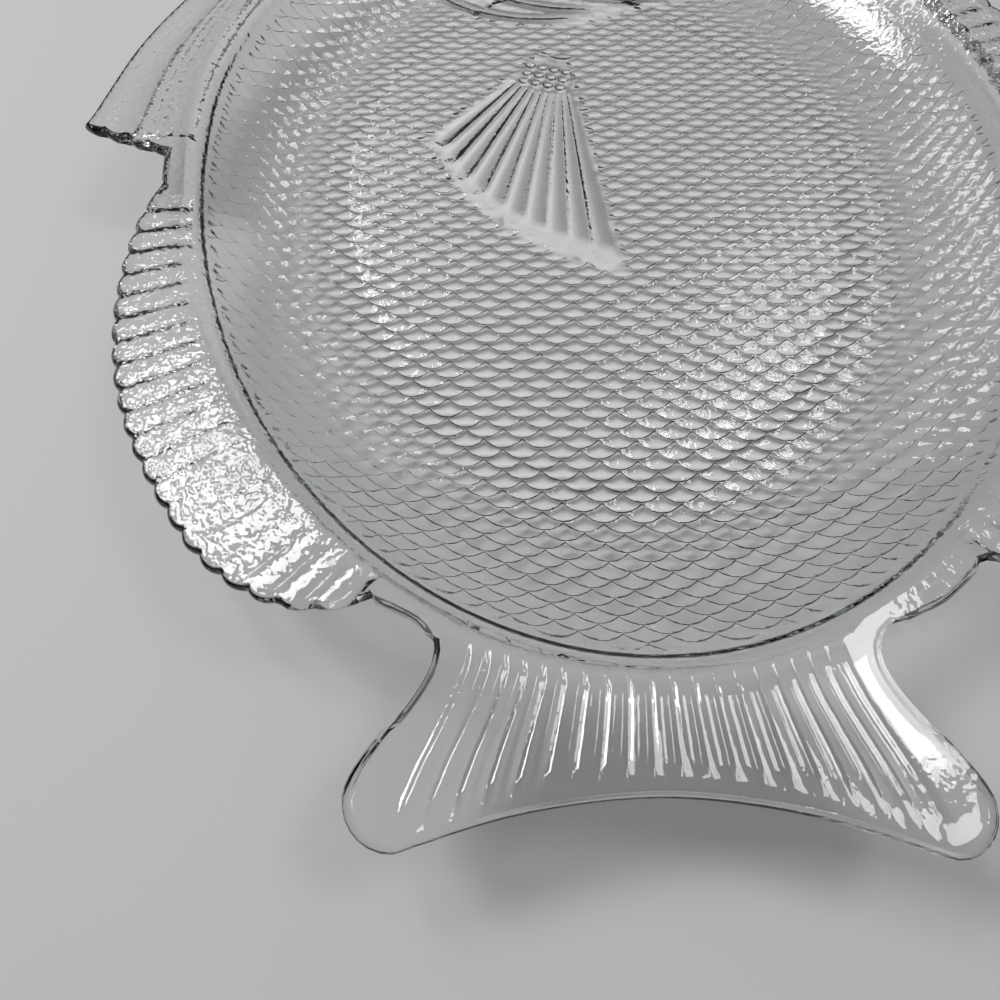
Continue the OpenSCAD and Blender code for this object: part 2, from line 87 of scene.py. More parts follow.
def rimAt(k):
    return oval(k, dish["rimTail"], dish["rimHead"], dish["rimHalf"])


def floorAt(k):
    return oval(k, dish["floorTail"], dish["floorHead"], dish["floorHalf"])


def outAt(k):
    d = (rimAt(k + 0.5) - rimAt(k - 0.5)).normalized()
    return Vector((d.y, -d.x))


def offRim(k, width):
    return rimAt(k) + outAt(k) * width


# Seen from above, the wall's line at a station starts at the floor's edge and runs to the rim
def wallLine(k):
    start = floorAt(k)
    return start, (rimAt(k) - start).normalized()


def wallWidth(k):
    return (rimAt(k) - floorAt(k)).length


def wallTop(t):
    return floorTop + wallRise * clamp(t) ** dish["curve"]


def wallSlope(k, t):
    return wallRise * dish["curve"] * clamp(t) ** (dish["curve"] - 1) / wallWidth(k)


# The wall keeps its thickness, and near the rim it runs into the fillet under the fins
def wallUnder(k, t):
    straight = dish["glass"] * sqrt(1 + wallSlope(k, t) ** 2)
    atRim = dish["finThick"] + dish["fillet"]
    return wallTop(t) - mix(straight, atRim, clamp(t) ** dish["filletCurve"])


# The wall laid out flat: how far from the floor's edge a share t of it lies, along its surface
def spreadLength(k, t, steps=16):
    width, total = wallWidth(k), 0.0
    for i in range(steps):
        total += sqrt(1 + wallSlope(k, (i + 0.5) * t / steps) ** 2)
    return width * t * total / steps


def spreadShare(k, length, steps=16):
    width, t = wallWidth(k), 0.0
    for i in range(steps):
        half = t + 0.5 * length / steps / (width * sqrt(1 + wallSlope(k, t) ** 2))
        t += length / steps / (width * sqrt(1 + wallSlope(k, half) ** 2))
    return t


def flatPlace(k, t):
    start, way = wallLine(k)
    return start + way * spreadLength(k, t)


search = {"tries": 12, "close": 1e-5, "step": 0.02, "longest": 2, "inner": (60, 50),
          "deep": -99, "inside": -40}

# How close points lie to be welded into one, and how close to the floor a point counts as on it
weld = {"scales": 0.02, "under": 0.03, "top": 0.01, "floor": 0.001}


# The station of a place in the flat pattern, and how far past the floor's edge it lies
def fromFloorEdge(x, y):
    if abs(x - wideX) <= search["inner"][0] and abs(y) <= search["inner"][1]:
        return 0, search["deep"]
    k = atan2(y / dish["rimHalf"], (x - wideX) / dish["rimTail"]) * dish["stations"] / (2 * pi)
    point = Vector((x, y))

    def miss(k):
        start, way = wallLine(k)
        gap = point - start
        return way.x * gap.y - way.y * gap.x

    for _ in range(search["tries"]):
        now = miss(k)
        if abs(now) < search["close"]:
            break
        rate = (miss(k + search["step"]) - now) / search["step"]
        k -= clamp(now / rate if rate else 0.0, -search["longest"], search["longest"])
    start, way = wallLine(k)
    return k, way.dot(point - start)


# The fins: widths from the crease over the share s of their length, and the stations they span
fins = {
    "anal": {"from": -0.2083, "to": -0.0755, "width": 24.5, "rise": 0.55, "fall": 0.72,
             "flutes": 21, "evenTo": 0.9},
    "dorsal": {"from": 0.34375, "to": 0.09375, "width": 22, "rise": 0.6, "fall": 0.84,
               "flutes": 36},
    "pelvic": {"from": -0.224, "to": -0.3542, "width": 33, "sweep": 13, "taper": 0.75,
               "ribs": 5, "ribWide": 2, "ribHigh": 0.95, "ribsEnd": 0.6, "ribInset": 0.9,
               "ribStep": 0.04, "soft": 0.45, "ribFade": 3},
    "endWidth": 1.5, "riseCurve": 0.9, "fallCurve": 0.8, "scallop": 1.3, "scallopFade": 4,
    "flute": 1.0, "fluteSpan": ((0.03, 0.25), (1.04, 0.12)),
    "topFlute": 0.12, "topSpan": ((0.1, 0.2), (1, 0.08)),
}
cut = {"lean": 0.6, "wave": 0.6, "waves": 7}  # the pelvic fin's rough rear end
tail = {
    "reach": 34, "half": 61, "hollow": 9.4, "hollowCurve": 1.8, "lobe": 9, "cornerShare": 0.12,
    "end": 5.3, "sideSpan": 0.5, "lobeSpan": 0.15, "raysEnd": 4.75,
    "bay": 6.2, "bayDepth": 1.7, "bayReach": 1.2, "bayTurn": 0.2,
    "lead": (7.3, 17.9), "settle": 9.9,
    "rays": 19, "rayHigh": 0.85, "rayCurve": 0.8, "dip": 0.32, "dipWide": 0.2,
    "raySpan": ((0.1, 0.12), (0.93, 0.08)), "straightTo": 0.4, "aim": (18, 25),
}
lips = {"station": 50, "span": 3, "rise": 2.5, "notch": 2.5}


def swell(s, fin):
    thin = dish["band"] + fins["endWidth"]
    if s < fin["rise"]:
        share = sin(pi / 2 * max(0, s) / fin["rise"]) ** fins["riseCurve"]
    elif s > fin["fall"]:
        share = max(0, 1 - ((s - fin["fall"]) / (1 - fin["fall"])) ** 2) ** fins["fallCurve"]
    else:
        share = 1
    return thin + (fin["width"] - thin) * share


def scallopedEdge(s, fin):
    k = dish["stations"] * mix(fin["from"], fin["to"], s)
    bulge = fins["scallop"] * abs(sin(pi * fin["flutes"] * s))
    bulge *= min(1, fins["scallopFade"] * sin(pi * s))
    return k, offRim(k, swell(s, fin) + max(0, bulge))


def pelvicEdge(s, fin):
    k = dish["stations"] * mix(fin["from"], fin["to"], s)
    width = mix(fin["width"], dish["band"] + fins["endWidth"], s ** fin["taper"])
    return k, offRim(k, width) - Vector((fin["sweep"] * (1 - s) ** 2, 0))


# The tail's rear edge is hollow, and turns round its two lobes; s runs from -1 to 1
def tailEdge(s):
    a, lobeY = abs(s), tail["half"] - tail["lobe"]
    corner = tail["cornerShare"]
    turn = pi / 2 * max(0, (a - 1 + corner) / corner)
    y = min(1, a / (1 - corner)) * lobeY
    hollow = tail["hollow"] * (1 - (y / lobeY) ** tail["hollowCurve"])
    x = wideX + dish["rimTail"] + tail["reach"] - hollow
    side = 1 if s > 0 else -1
    return Vector((x - tail["lobe"] * (1 - cos(turn)), side * (y + tail["lobe"] * sin(turn))))


# One curve rounds the bay beside the tail and runs on along the tail's side to its corner
def bayCurve(v, side):
    root = offRim(side * tail["bay"], dish["band"] - tail["bayDepth"])
    corner = tailEdge(side)
    first = root + Vector((tail["lead"][0], -side * tail["lead"][1]))
    second = corner - Vector((tail["settle"], 0))
    w = 1 - v
    return w ** 3 * root + 3 * w * w * v * first + 3 * w * v * v * second + v ** 3 * corner


def tailSide(v, side):
    return bayCurve(mix(tail["bayTurn"], 1, v), side)


def bayInward(v, side):
    way = (bayCurve(v + slopeStep, side) - bayCurve(v - slopeStep, side)).normalized()
    return Vector((side * way.y, -side * way.x))


# The two lips at the snout, with the notch of the mouth between them
def lip(k):
    d = abs(k - lips["station"]) / lips["span"]
    if d >= 1:
        return 0
    return lips["rise"] * sin(pi * d) - lips["notch"] * max(0, 1 - d * lips["span"])


# How many columns each part of the outline has; the bands between the fins count per station
counts = {"ray": 11, "lobe": 7, "tailSide": 14, "dorsal": 144, "pelvic": 60, "cut": 20, "anal": 140,
          "bayBand": 3, "headBand": 5, "bellyBand": 4}


# Every column of the glass outside the floor: its station, its outer point, its zone, and its place
# there, and in the bay and on the tail also its share of that curve
def makeColumns():
    columns = []
    whole, straight = dish["stations"], 1 - tail["cornerShare"]
    rayEnd, lobeEnd = tail["raysEnd"], tail["raysEnd"] + tail["lobeSpan"]
    count = tail["rays"] * counts["ray"]
    for i in range(count + 1):  # the tail's rear edge
        s = 2 * i / count - 1
        columns.append((rayEnd * s, tailEdge(s * straight), "tail", s, 1))
    for i in range(1, counts["lobe"] + 1):  # the lobe's corner on the back's side
        u = i / counts["lobe"]
        columns.append((mix(rayEnd, lobeEnd, u), tailEdge(mix(straight, 1, u)), "tail", 1, 1))
    for i in range(1, counts["tailSide"] + 1):  # the tail's side, ahead to the bay
        u = i / counts["tailSide"]
        columns.append((mix(lobeEnd, tail["end"], u), tailSide(1 - u, 1), "tail", 1, 1 - u))
    dorsal = finColumns("dorsal", backShares(counts["dorsal"]), scallopedEdge)
    columns += bandColumns(tail["end"], dorsal[0][0], counts["bayBand"]) + dorsal
    pelvic = finColumns("pelvic", backShares(counts["pelvic"]), pelvicEdge, whole)
    first, cutEnd = pelvic[0][0], pelvic[-1][0]
    columns += bandColumns(dorsal[-1][0], first, counts["headBand"])
    columns += cutPelvic(pelvic, first, cutEnd)
    shares = [analShare(i / counts["anal"]) for i in range(counts["anal"] + 1)]
    anal = finColumns("anal", shares, scallopedEdge, whole)
    columns += bandColumns(cutEnd, anal[0][0], counts["bellyBand"]) + anal
    end = whole - tail["end"]
    columns += bandColumns(anal[-1][0], end, counts["headBand"])
    sideEnd = end + tail["sideSpan"]
    for i in range(counts["tailSide"] + 1):  # the tail's side, from the bay on the belly's side
        u = i / counts["tailSide"]
        columns.append((mix(end, sideEnd, u), tailSide(u, -1), "tail", -1, u))
    for i in range(1, counts["lobe"]):
        u = i / counts["lobe"]
        edge = tailEdge(-mix(1, straight, u))
        columns.append((mix(sideEnd, whole - rayEnd, u), edge, "tail", -1, 1))
    return columns


def backShares(count):
    return [1 - i / count for i in range(count + 1)]


def analShare(u):  # even over most of the fin, and closer where its rear lobe turns in
    even = fins["anal"]["evenTo"]
    return u if u < even else even + (1 - even) * sin((u - even) / (1 - even) * pi / 2)


def finColumns(zone, shares, edgeAt, lap=0):
    made = []
    for s in shares:
        k, edge = edgeAt(s, fins[zone])
        made.append((k + lap, edge, zone, s))
    return made


# The pelvic fin's columns lean ahead, so that the last ones can spread along its cut end
def cutPelvic(pelvic, first, cutEnd):
    root = cutEnd - cut["lean"]
    made = [(mix(first, root, (k - first) / (cutEnd - first)), edge, zone, s)
            for k, edge, zone, s in pelvic]
    tip, foot = pelvic[-1][1], offRim(cutEnd, dish["band"])
    way = (foot - tip).normalized()
    for i in range(1, counts["cut"] + 1):
        u = i / counts["cut"]
        wave = cut["wave"] * sin(cut["waves"] * pi * u) * sin(pi * u)
        edge = tip.lerp(foot, u) + wave * Vector((way.y, -way.x))
        made.append((mix(root, cutEnd, u), edge, "cut", u))
    return made


def bandColumn(k):
    turned = k % dish["stations"]
    fromTail = min(turned, dish["stations"] - turned)
    side = 1 if turned < dish["stations"] / 2 else -1
    if fromTail < tail["bay"]:
        v = tail["bayTurn"] * (tail["bay"] - fromTail) / (tail["bay"] - tail["end"])
        return k, bayCurve(v, side), "bay", side, v
    narrower = tail["bayDepth"] * (1 - ease((fromTail - tail["bay"]) / tail["bayReach"]))
    return k, offRim(k, dish["band"] + lip(k) - narrower), "band", 0


def bandColumns(start, end, perStation):
    count = max(2, round((end - start) * perStation))
    return [bandColumn(mix(start, end, i / count)) for i in range(1, count)]


# How far the top and the underside of a column stand off their flat levels
def topRelief(zone, s, u):
    if zone == "tail" and abs(s) < 1:  # each ray has a double crest
        turn = tail["rays"] * (s + 1) / 2
        dip = tail["dip"] * max(0, 1 - ((turn % 1 - 0.5) / tail["dipWide"]) ** 2)
        ray = abs(sin(pi * turn)) ** tail["rayCurve"] - dip
        return tail["rayHigh"] * ray * between(u, *tail["raySpan"])
    if zone in ("anal", "dorsal"):
        wave = abs(sin(pi * fins[zone]["flutes"] * s))
        return -fins["topFlute"] * (1 - wave) * between(u, *fins["topSpan"])
    return 0


def underRelief(zone, s, u):
    if zone in ("anal", "dorsal"):
        wave = abs(sin(pi * fins[zone]["flutes"] * s))
        return fins["flute"] * wave * between(u, *fins["fluteSpan"])
    if zone == "pelvic":
        fin = fins["pelvic"]
        total = 0
        half = fin["ribWide"] / 2 / (fin["width"] - dish["band"])
        for i, middle in enumerate(pelvicRibs):
            strength = 1 if i == len(pelvicRibs) - 1 else fin["soft"]
            total += strength * max(0, 1 - abs(u - middle) / half)
        return fin["ribHigh"] * total * min(1, fin["ribFade"] * (1 - s))
    return 0


# The rows of the mesh: shares of the wall's width and of the fins' width, top and underside, and
# the rounded edge's steps, each a way out and a way down
rows = {
    "wall": [0, 0.08, 0.2, 0.35, 0.5, 0.65, 0.79, 0.91, 0.985],
    "fin": [0.03, 0.1, 0.16, 0.22, 0.35, 0.5, 0.65, 0.8, 0.87, 0.93, 1],
    "under": [0.02, 0.08, 0.14, 0.2, 0.26, 0.32, 0.38, 0.44, 0.5, 0.56, 0.62, 0.68, 0.74, 0.8,
              0.86, 0.92, 0.96, 1],
    "underWall": 4, "crease": 0.14, "lean": 0.45, "edgeInset": 1.2, "lift": 0.3, "liftFrom": 0.9,
    "edge": [(0.12, 0.28), (0.5, 0.38), (0.85, 0.75), (1.15, 1.35), (1.2, 2.1), (0.8, 3.1)],
}
ribCount, ribStep = fins["pelvic"]["ribs"], fins["pelvic"]["ribStep"]
pelvicRibs = [fins["pelvic"]["ribsEnd"] * (rib + fins["pelvic"]["ribInset"]) / ribCount
              for rib in range(ribCount)]
pelvicRows = [0.03]
for middle in pelvicRibs:
    pelvicRows += [middle - ribStep, middle, middle + ribStep]
pelvicRows += [0.85, 1]


# A place on a column outside the crease, at the share u of the way to its outer point
def outerPlace(column, u):
    k, edge, zone, s = column[:4]
    start = rimAt(k)
    reach = (edge - start).length
    inward = bayInward(column[4], s) if zone == "bay" else (start - edge) / reach
    edge = edge + inward * rows["edgeInset"]
    bend = start + outAt(k) * rows["lean"] * reach
    plain = start.lerp(bend, u).lerp(bend.lerp(edge, u), u)
    if zone != "tail":
        return plain
    beside = ease((abs(s) - tail["straightTo"]) / (1 - tail["straightTo"]))
    return plain.lerp(besideTail(column, u), beside)


# Towards its sides the tail's columns bow in as its side edge does, so that none of them crosses it
def besideTail(column, u):
    k, edge, _, s, v = column
    side = 1 if s > 0 else -1
    middle = Vector((wideX + dish["rimTail"] + tail["aim"][0], side * tail["aim"][1]))
    onSide = v < 1
    inward = bayInward(mix(tail["bayTurn"], 1, v), side) if onSide else (middle - edge).normalized()
    place = tailSide(v * u, side) + (rimAt(k) - tailSide(0, side)) * (1 - u)
    return place + (edge - tailSide(v, side) + inward * rows["edgeInset"]) * u


# A grid whose points are put in place by column and row; a closed one meets itself in a seam
def meshGrid(bm, columns, rowCount, place, closed=True, mark=None):
    made = bmesh.ops.create_grid(bm, x_segments=columns, y_segments=rowCount - 1, size=0.5)["verts"]
    for v in made:
        i = round((v.co.x + 0.5) * columns)
        j = round((v.co.y + 0.5) * (rowCount - 1))
        v.co = place(i % columns if closed else i, j)
        if mark:
            mark(v, i, j)
    return made


def topPlace(columns, i, j):
    k, _, zone, s = columns[i][:4]
    wall = rows["wall"]
    if j < len(wall):
        p = floorAt(k).lerp(rimAt(k), wall[j])
        return Vector((p.x, p.y, wallTop(wall[j])))
    if j == len(wall):
        p = rimAt(k)
        return Vector((p.x, p.y, dish["rimHeight"] - rows["crease"]))
    u = rows["fin"][j - len(wall) - 1]
    p = outerPlace(columns[i], u)
    return Vector((p.x, p.y, dish["rimHeight"] + topRelief(zone, s, u)))


# Where the scales end on the wall, as a share of its width, at a few stations
scaleEnds = [(0, 0.955), (6, 0.955), (12, 0.95), (24, 0.93), (34, 0.88), (48, 0.82), (60, 0.93),
             (72, 0.96), (84, 0.96), (90, 0.955), (96, 0.955)]


def scaleEnd(k):
    k = k % dish["stations"]
    for (a, u), (b, v) in zip(scaleEnds, scaleEnds[1:]):
        if a <= k <= b:
            return mix(u, v, ease((k - a) / (b - a)))
    return scaleEnds[0][1]


# A place that stands off the wall's underside
def underWall(k, t, high):
    start, way = wallLine(k)
    p = start.lerp(rimAt(k), t)
    rise = wallUnder(k, t + slopeStep) - wallUnder(k, t - slopeStep)
    slope = rise / (2 * slopeStep * wallWidth(k))
    down = Vector((way.x * slope, way.y * slope, -1)).normalized()
    return Vector((p.x, p.y, wallUnder(k, t))) + down * high


def underPlace(columns, i, j):
    k, _, zone, s = columns[i][:4]
    if j < rows["underWall"]:
        share = j / (rows["underWall"] - 1)
        t = mix(scaleEnd(k), rows["wall"][-1], share)
        return underWall(k, t, scales["level"] * (1 - ease(share)))
    u = (pelvicRows if zone == "pelvic" else rows["under"])[j - rows["underWall"]]
    p = outerPlace(columns[i], u)
    z = dish["rimHeight"] - dish["finThick"] - underRelief(zone, s, u)
    z += rows["lift"] * ease((u - rows["liftFrom"]) / (1 - rows["liftFrom"]))
    z -= dish["fillet"] * (1 - clamp((p - rimAt(k)).length / dish["filletReach"])) ** 2
    return Vector((p.x, p.y, z))


# The scales: rows of arcs that bulge to the tail, each row shifted by half a scale; "clear" lists
# the margins at which a nearby feature is looked for
scales = {
    "wide": 10.5, "long": 6.5, "relief": 0.92, "bulge": 0.22, "dome": 0.25, "level": 0.55,
    "columns": 8, "step": 0.42, "gap": 0.62, "wider": 0.2, "tailZone": (10, 20),
    # crests: the painted light and shade that each row of a scale's points casts on the table, as
    # painted caustic lines
    "shares": [0.0, 0.34, 0.7, 1.0], "crests": [0.0, 0.3, 1.0, 0.6],
    "keep": 0.7, "fade": 3.0, "clear": (3.3, 2.5, 1.7, 0.9), "clearLess": 0.8, "least": 0.15,
    "bolder": 0.35, "bolderOver": 10, "calmer": 0.9, "across": 150, "ahead": 200, "behind": 205,
}
pitch = scales["long"] / 2
colStep = scales["wide"] / scales["columns"]
headRows = floor(dish["floorHead"] / pitch)
pectoral = {
    "ahead": 64, "side": 12, "turns": (-38, 6.5), "skew": 0.22, "rootR": 27, "rootL": 17,
    "rays": 10, "short": 44, "long": 84, "high": 0.8, "steep": 0.3, "gap": 0.35,
    # tipPaintedLight: the painted light that the rays' tips cast on the table, from row tipRow on
    "spread": (2.5, 2), "tipPaintedLight": 0.7, "tipRow": 7,
}
# ringPaintedLight: a painted highlight that each lump casts on the table
lump = {"rows": 3, "lanes": 4, "pitch": 4.6, "inset": 0.7, "r": 2.024, "sides": 12, "ringPaintedLight": 1.2,
        "rings": ((1, 0), (0.82, 0.45), (0.5, 0.85)), "dent": 0.1}
gill = {
    "count": 3, "ahead": 80, "step": 7, "r": 66, "sides": (-0.3, -0.08, 0.21), "band": 4.5,
    "high": 0.8, "turns": ((-52, 12), (-34, 6), (-26, 24)), "degrees": 1.6, "ends": 4, "clear": 1.2,
}
eye = {"station": 40, "share": 0.5, "r": 11, "sides": 28, "high": 1.0,
       "rings": ((1, 0), (0.93, 0.75), (0.85, 0.9), (0.7, 0.3), (0.6, 0.3), (0.35, 0.9),
                 (0.2, 0.98))}
mouth = {"station": 50, "share": 0.93, "long": 46, "wide": 4, "turn": 42, "high": 1.0, "steps": 16,
         "section": ((-1, 0), (-0.5, 0.8), (0, 1), (0.5, 0.8), (1, 0))}
fishFin = Vector((wideX - pectoral["ahead"], -pectoral["side"]))
eyeAt = flatPlace(eye["station"], eye["share"])
mouthAt = flatPlace(mouth["station"], mouth["share"])
mouthWay = Matrix.Rotation(radians(mouth["turn"]), 2) @ -wallLine(mouth["station"])[1]


def rowX(j):
    return wideX + (j - headRows) * pitch


def arcPhase(j, i):
    half = scales["columns"] // 2
    return ((i - half * (j % 2)) % scales["columns"]) / half - 1


def arcX(j, i):
    return rowX(j) + (pitch - scales["gap"]) * (1 - arcPhase(j, i) ** 2)


# How far a scale stands off its middle level: it rises to its free edge and falls away to its sides
def scaleHigh(j, i, x):
    share = (x - rowX(j - 1)) / scales["long"]
    rise = share + scales["bulge"] * sin(pi * share)
    return scales["relief"] * (rise - 0.5) - scales["dome"] * arcPhase(j, i) ** 2


def tailShare(x):
    ahead, over = scales["tailZone"]
    return ease((x - wideX - dish["floorTail"] + ahead) / over)


def gillCentre(n):
    x = wideX - gill["ahead"] - n * gill["step"] - gill["r"]
    return Vector((x, gill["sides"][n] * gill["r"]))


def rayTurn(u):
    return mix(*pectoral["turns"], u * (1 + pectoral["skew"] * (1 - u)))


def rayReach(turn):
    low, high = pectoral["turns"]
    share = clamp((turn - low) / (high - low))
    return pectoral["rootR"] + mix(pectoral["short"], pectoral["long"], share)


# A place seen from a centre: its distance, its turn in degrees, and a margin there in degrees
def seenFrom(centre, p, margin):
    gap = p - centre
    return gap.length, degrees(atan2(gap.y, gap.x)), degrees(atan2(margin, gap.length))


def underFin(p, margin):
    d, turn, spare = seenFrom(fishFin, p, margin)
    if d < 1:
        return False
    low, high = pectoral["turns"]
    before, after = pectoral["spread"]
    return (pectoral["rootR"] - pectoral["rootL"] - margin < d < rayReach(turn) + margin
            and low - spare - before < turn < high + spare + after)


def inGill(p, margin):
    return min((p - gillCentre(n)).length for n in range(gill["count"])) < gill["r"] + margin


def onGillBand(p, margin):
    for n in range(gill["count"]):
        d, turn, spare = seenFrom(gillCentre(n), p, margin)
        low, high = gill["turns"][n]
        if low - spare < turn < high + spare and -gill["band"] - margin < d - gill["r"] < margin:
            return True
    return False


def onFace(p, margin):
    if (p - eyeAt).length < eye["r"] + margin:
        return True
    gap = p - mouthAt
    along = gap.dot(mouthWay)
    across = gap.x * mouthWay.y - gap.y * mouthWay.x
    return -margin < along < mouth["long"] + margin and abs(across) < mouth["wide"] / 2 + margin


# How much room a scale has before the pattern's end, or before a feature that it makes way for
def roomAt(p, k, past):
    nearWall = past > search["inside"]
    room = spreadLength(k, scaleEnd(k)) - past if nearWall else -search["deep"]
    for margin in scales["clear"]:
        if underFin(p, margin) or onGillBand(p, margin) or onFace(p, margin):
            room = min(room, margin - scales["clearLess"] + scales["keep"])
    return room - scales["keep"]


def makeFlatPattern(columns):
    bm = bmesh.new()
    low, high = round(-scales["across"] / colStep), round(scales["across"] / colStep)
    firstRow = headRows - ceil(scales["ahead"] / pitch)
    lastRow = headRows + ceil(scales["behind"] / pitch)
    perRow = len(scales["shares"])
    # each point's painted light and shade, cast on the table as painted caustic lines and painted
    # shadow
    layer = bm.verts.layers.float.new("crest")

    def place(i, j):
        i += low
        row, part = firstRow + j // perRow, j % perRow
        start, end = arcX(row, i), arcX(row + 1, i)
        start += scales["step"] * (1 + scales["wider"] * tailShare(start))
        x = mix(start, end, scales["shares"][part])
        return Vector((x, i * colStep, scaleHigh(row + 1, i, x)))

    def mark(v, i, j):
        v[layer] = scales["crests"][j % perRow]

    meshGrid(bm, high - low, (lastRow - firstRow) * perRow, place, closed=False, mark=mark)
    spare = {}
    for v in bm.verts:
        x, y, _ = v.co
        k, past = fromFloorEdge(x, y)
        spare[v] = roomAt(Vector((x, y)), k, past)
        bold = 1 + scales["bolder"] * ease(past / scales["bolderOver"])
        bold = mix(bold, scales["calmer"], tailShare(x))
        v.co.z *= ease(spare[v] / scales["fade"]) * bold
    doomed = [f for f in bm.faces if any(spare[v] < scales["least"] for v in f.verts)]
    bmesh.ops.delete(bm, geom=doomed, context="FACES")
    dropBare(bm)
    bmesh.ops.remove_doubles(bm, verts=bm.verts, dist=weld["scales"])
    dropLoose(bm)
    for v in bm.verts:
        if v.is_boundary or inGill(Vector((v.co.x, v.co.y)), scales["wide"] / 3):
            v.co.z = 0
    addRim(bm, [flatPlace(c[0], scaleEnd(c[0])) for c in columns])
    addRays(bm)
    addLumps(bm)
    addGill(bm)
    addRings(bm, eyeAt, eye["r"], eye["sides"], eye["rings"], eye["high"])
    addMouth(bm)
    edges = [e for e in bm.edges if len(e.link_faces) < 2]
    print("flat pattern:", len(bm.verts), "points,", len(edges), "open edges")
    for e in edges:
        e.seam = True
    bmesh.ops.triangle_fill(bm, use_beauty=True, edges=edges, normal=(0, 0, 1))
    return bm


def dropBare(bm):
    bmesh.ops.delete(bm, geom=[v for v in bm.verts if not v.link_faces], context="VERTS")


# Single cells that hang on by one corner would leave a crossed border
def dropLoose(bm):
    while True:
        pinched = [v for v in bm.verts if sum(e.is_boundary for e in v.link_edges) > 2]
        if not pinched:
            return
        doomed = {f for v in pinched for f in v.link_faces}
        bmesh.ops.delete(bm, geom=list(doomed), context="FACES")
        dropBare(bm)


def addRim(bm, rim):
    made = bmesh.ops.create_circle(bm, segments=len(rim), radius=1)["verts"]
    for v, p in zip(made, rim):
        v.co = (p.x, p.y, 0)


# A ray of the pectoral fin: its section as side and height, the painted light and shade that each
# point of it casts on the table (a painted highlight at its left edge, painted shade at its right),
# and its stops from root to tip as way along, height and width
raySections = [(-1, 0), (-0.8, 0.34), (-0.45, 0.82), (0, 1), (0.45, 0.82), (0.8, 0.34), (1, 0)]
rayPaintedLightShade = [1.2, 1.2, 0.6, 0, -0.3, -0.5, -0.7]
rayStops = [(0, 0, 1), (0.015, 0.6, 1), (0.04, 1, 1), (0.25, 1, 1), (0.5, 1, 1), (0.75, 1, 1),
            (0.88, 1, 1), (0.93, 0.85, 0.98), (0.97, 0.45, 0.9), (1, 0, 0.75)]


def addRays(bm):
    last = pectoral["rays"] - 1
    layer = bm.verts.layers.float["crest"]

    def mark(v, i, j):
        v[layer] = pectoral["tipPaintedLight"] if j >= pectoral["tipRow"] else rayPaintedLightShade[i]

    for n in range(pectoral["rays"]):
        turn = rayTurn(n / last)
        step = rayTurn((n + 0.5) / last) - rayTurn((n - 0.5) / last)
        way = Vector((cos(radians(turn)), sin(radians(turn))))

        def place(i, j):
            across, high = raySections[i]
            along, rise, thin = rayStops[j]
            d = mix(pectoral["rootR"], rayReach(turn), along)
            half = (d * tan(radians(step / 2)) - pectoral["gap"] / 2) * thin
            p = fishFin + way * d + Vector((-way.y, way.x)) * across * half
            tall = min(pectoral["high"], pectoral["steep"] * half)
            return Vector((p.x, p.y, tall * high * rise))

        meshGrid(bm, len(raySections) - 1, len(rayStops), place, closed=False, mark=mark)


# The lumps at the pectoral fin's root
def addLumps(bm):
    middle = radians(sum(pectoral["turns"]) / 2)
    way = Vector((cos(middle), sin(middle)))
    for row in range(lump["rows"]):
        for lane in range(lump["lanes"]):
            d = pectoral["rootR"] - lump["pitch"] * (row + lump["inset"])
            side = lump["pitch"] * (lane - (lump["lanes"] - 1) / 2)
            centre = fishFin + way * d + Vector((-way.y, way.x)) * side
            high = pectoral["high"]
            addRings(bm, centre, lump["r"], lump["sides"], lump["rings"], high, lump["ringPaintedLight"])
            bm.faces.ensure_lookup_table()
            dented = bm.faces[-1]  # a side face
            bmesh.ops.poke(bm, faces=[dented], offset=high * lump["dent"])


# Rings from the outer one inwards, joined one to the next and capped
def addRings(bm, centre, radius, sides, rings, high, ringPaintedLight=0):
    layer = bm.verts.layers.float["crest"]
    outer = None
    for share, rise in rings:
        ring = bmesh.ops.create_circle(bm, segments=sides, radius=radius * share)["verts"]
        for v in ring:
            v.co += Vector((centre.x, centre.y, high * rise))
            v[layer] = ringPaintedLight if outer else 0
        if outer:
            for n in range(sides):
                m = (n + 1) % sides
                bm.faces.new((outer[n], outer[m], ring[m], ring[n]))
        outer = ring
    bmesh.ops.contextual_create(bm, geom=outer)


# A gill arc's section, as way inwards and height
gillSections = [(0, 0), (0.12, 0.6), (0.3, 1), (0.5, 0.95), (0.7, 0.8), (0.88, 0.5), (1, 0)]


def addGill(bm):
    for n in range(gill["count"]):
        low, high = gill["turns"][n]
        count = ceil((high - low) / gill["degrees"])

        def place(i, j):
            turn = radians(mix(low, high, i / count))
            rise = min(1, gill["ends"] * min(i, count - i) / count)
            share, tall = gillSections[j]
            p = gillCentre(n) + Vector((cos(turn), sin(turn))) * (gill["r"] - gill["band"] * share)
            return Vector((p.x, p.y, gill["high"] * tall * rise))

        trimGill(bm, meshGrid(bm, count, len(gillSections), place, closed=False))


# The part of a gill arc that would run past the scales' end is cut away
def trimGill(bm, made):
    lost = set()
    for v in made:
        k, past = fromFloorEdge(v.co.x, v.co.y)
        if spreadLength(k, scaleEnd(k)) - past < gill["clear"]:
            lost.add(v)
    doomed = [f for f in bm.faces if any(v in lost for v in f.verts)]
    bmesh.ops.delete(bm, geom=doomed, context="FACES")
    doomed = [v for v in bm.verts if v in lost and not v.link_faces]
    bmesh.ops.delete(bm, geom=doomed, context="VERTS")
    for v in bm.verts:
        if v.is_boundary:
            v.co.z = 0


def addMouth(bm):
    steps, section = mouth["steps"], mouth["section"]

    def place(i, j):
        side, high = section[j]
        p = mouthAt + mouthWay * (mouth["long"] * i / steps)
        p += Vector((mouthWay.y, -mouthWay.x)) * side * mouth["wide"] / 2
        return Vector((p.x, p.y, mouth["high"] * high * min(1, i / 2, (steps - i) / 2)))

    meshGrid(bm, steps, len(section), place, closed=False)


